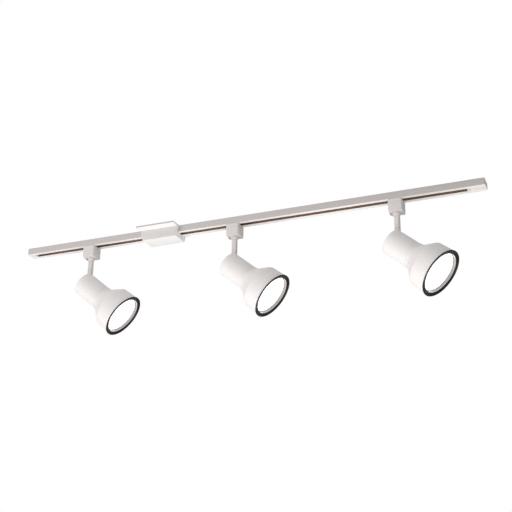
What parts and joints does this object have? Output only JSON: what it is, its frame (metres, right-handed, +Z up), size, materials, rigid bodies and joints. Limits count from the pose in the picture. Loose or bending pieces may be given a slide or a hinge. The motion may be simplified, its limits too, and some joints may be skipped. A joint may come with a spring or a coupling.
{
  "type": "track lighting fixture",
  "caption": "Straight ceiling track with a feed canopy and white lamp heads that slide, turn and tilt, each with a flared shade, black baffle rim and reflector lamp.",
  "frame": {"origin": "middle of the track's back face, which lies on the ceiling", "axes": "+X along the track towards the end insert, +Y away from the viewer, +Z up into the ceiling"},
  "size_m": [1.2192, 0.1485, 0.2573],
  "materials": {
    "track_paint": "satin white powder coat on extruded aluminium",
    "canopy_paint": "satin white enamel on pressed steel",
    "head_paint": "satin white enamel on spun and drawn steel",
    "stem_paint": "satin white enamel",
    "black_paint": "semi-gloss black enamel",
    "adapter_plastic": "fine moulded texture",
    "white_plastic": "fine moulded texture",
    "black_plastic": "moulded",
    "liner_pvc": "extruded insulation",
    "copper": "bare copper strip, lightly tarnished",
    "contact_brass": "sprung brass",
    "zinc_steel": "zinc plated",
    "ground_green": "green ground screw",
    "lead_insulation": "lead insulation",
    "porcelain": "glazed porcelain",
    "lamp_glass": "inside-frosted white glass, emissive when lit",
    "lamp_base_metal": "rolled screw base"
  },
  "bodies": {
    "track": {"track_back": "track_paint", "track_near_rail": "track_paint", "track_far_rail": "track_paint", "near_liner": "liner_pvc", "far_liner": "liner_pvc", "conductors": "copper", "end_cap": "white_plastic", "end_insert": "white_plastic", "insert_screw": "zinc_steel", "feed_canopy": "canopy_paint", "feed_connector": "black_plastic", "feed_contacts": "contact_brass", "terminal_screws": "zinc_steel", "canopy_clips": "zinc_steel", "ground_screw": "ground_green"},
    "head_1_adapter": {"adapter_1": "adapter_plastic", "contact_blades_1": "contact_brass"},
    "head_1_tab": {"lock_tab_1": "adapter_plastic"},
    "head_1_stem": {"stem_1": "stem_paint", "swivel_nut_1": "zinc_steel", "stem_leads_1": "lead_insulation"},
    "head_1_lamp": {"pivot_bracket_1": "zinc_steel", "pivot_pin_1": "zinc_steel", "barrel_1": "head_paint", "shade_1": "head_paint", "baffle_1": "black_paint", "lampholder_1": "porcelain", "screw_shell_1": "contact_brass", "lamp_glass_1": "lamp_glass", "lamp_base_1": "lamp_base_metal"},
    "head_2_adapter": {"adapter_2": "adapter_plastic", "contact_blades_2": "contact_brass"},
    "head_2_tab": {"lock_tab_2": "adapter_plastic"},
    "head_2_stem": {"stem_2": "stem_paint", "swivel_nut_2": "zinc_steel", "stem_leads_2": "lead_insulation"},
    "head_2_lamp": {"pivot_bracket_2": "zinc_steel", "pivot_pin_2": "zinc_steel", "barrel_2": "head_paint", "shade_2": "head_paint", "baffle_2": "black_paint", "lampholder_2": "porcelain", "screw_shell_2": "contact_brass", "lamp_glass_2": "lamp_glass", "lamp_base_2": "lamp_base_metal"},
    "head_3_adapter": {"adapter_3": "adapter_plastic", "contact_blades_3": "contact_brass"},
    "head_3_tab": {"lock_tab_3": "adapter_plastic"},
    "head_3_stem": {"stem_3": "stem_paint", "swivel_nut_3": "zinc_steel", "stem_leads_3": "lead_insulation"},
    "head_3_lamp": {"pivot_bracket_3": "zinc_steel", "pivot_pin_3": "zinc_steel", "barrel_3": "head_paint", "shade_3": "head_paint", "baffle_3": "black_paint", "lampholder_3": "porcelain", "screw_shell_3": "contact_brass", "lamp_glass_3": "lamp_glass", "lamp_base_3": "lamp_base_metal"}
  },
  "joints": [
    {"name": "head_1_slide", "type": "slide", "parent": "track", "child": "head_1_adapter", "axis": [1, 0, 0], "range_m": [-0.155, 0.141]},
    {"name": "head_1_tab_pull", "type": "slide", "parent": "head_1_adapter", "child": "head_1_tab", "axis": [0, 0, -1], "range_m": [0, 0.0045], "stiffness_N_per_m": 300, "springref_m": -0.004},
    {"name": "head_1_turn", "type": "hinge", "parent": "head_1_adapter", "child": "head_1_stem", "pos_m": [-0.418, 0, -0.05], "axis": [0, 0, 1], "range_deg": [-175, 175]},
    {"name": "head_1_tilt", "type": "hinge", "parent": "head_1_stem", "child": "head_1_lamp", "pos_m": [-0.418, 0, -0.108], "axis": [-0.1736, 0.9848, 0], "range_deg": [-39.7, 50.3]},
    {"name": "head_2_slide", "type": "slide", "parent": "track", "child": "head_2_adapter", "axis": [1, 0, 0], "range_m": [-0.128, 0.14]},
    {"name": "head_2_tab_pull", "type": "slide", "parent": "head_2_adapter", "child": "head_2_tab", "axis": [0, 0, -1], "range_m": [0, 0.0045], "stiffness_N_per_m": 300, "springref_m": -0.004},
    {"name": "head_2_turn", "type": "hinge", "parent": "head_2_adapter", "child": "head_2_stem", "pos_m": [-0.006, 0, -0.05], "axis": [0, 0, 1], "range_deg": [-175, 175]},
    {"name": "head_2_tilt", "type": "hinge", "parent": "head_2_stem", "child": "head_2_lamp", "pos_m": [-0.006, 0, -0.108], "axis": [-0.0419, 0.9991, 0], "range_deg": [-39.4, 50.6]},
    {"name": "head_3_slide", "type": "slide", "parent": "track", "child": "head_3_adapter", "axis": [1, 0, 0], "range_m": [-0.14, 0.142]},
    {"name": "head_3_tab_pull", "type": "slide", "parent": "head_3_adapter", "child": "head_3_tab", "axis": [0, 0, -1], "range_m": [0, 0.0045], "stiffness_N_per_m": 300, "springref_m": -0.004},
    {"name": "head_3_turn", "type": "hinge", "parent": "head_3_adapter", "child": "head_3_stem", "pos_m": [0.4035, 0, -0.05], "axis": [0, 0, 1], "range_deg": [-175, 175]},
    {"name": "head_3_tilt", "type": "hinge", "parent": "head_3_stem", "child": "head_3_lamp", "pos_m": [0.4035, 0, -0.108], "axis": [0.1564, 0.9877, 0], "range_deg": [-40.8, 49.2]}
  ]
}
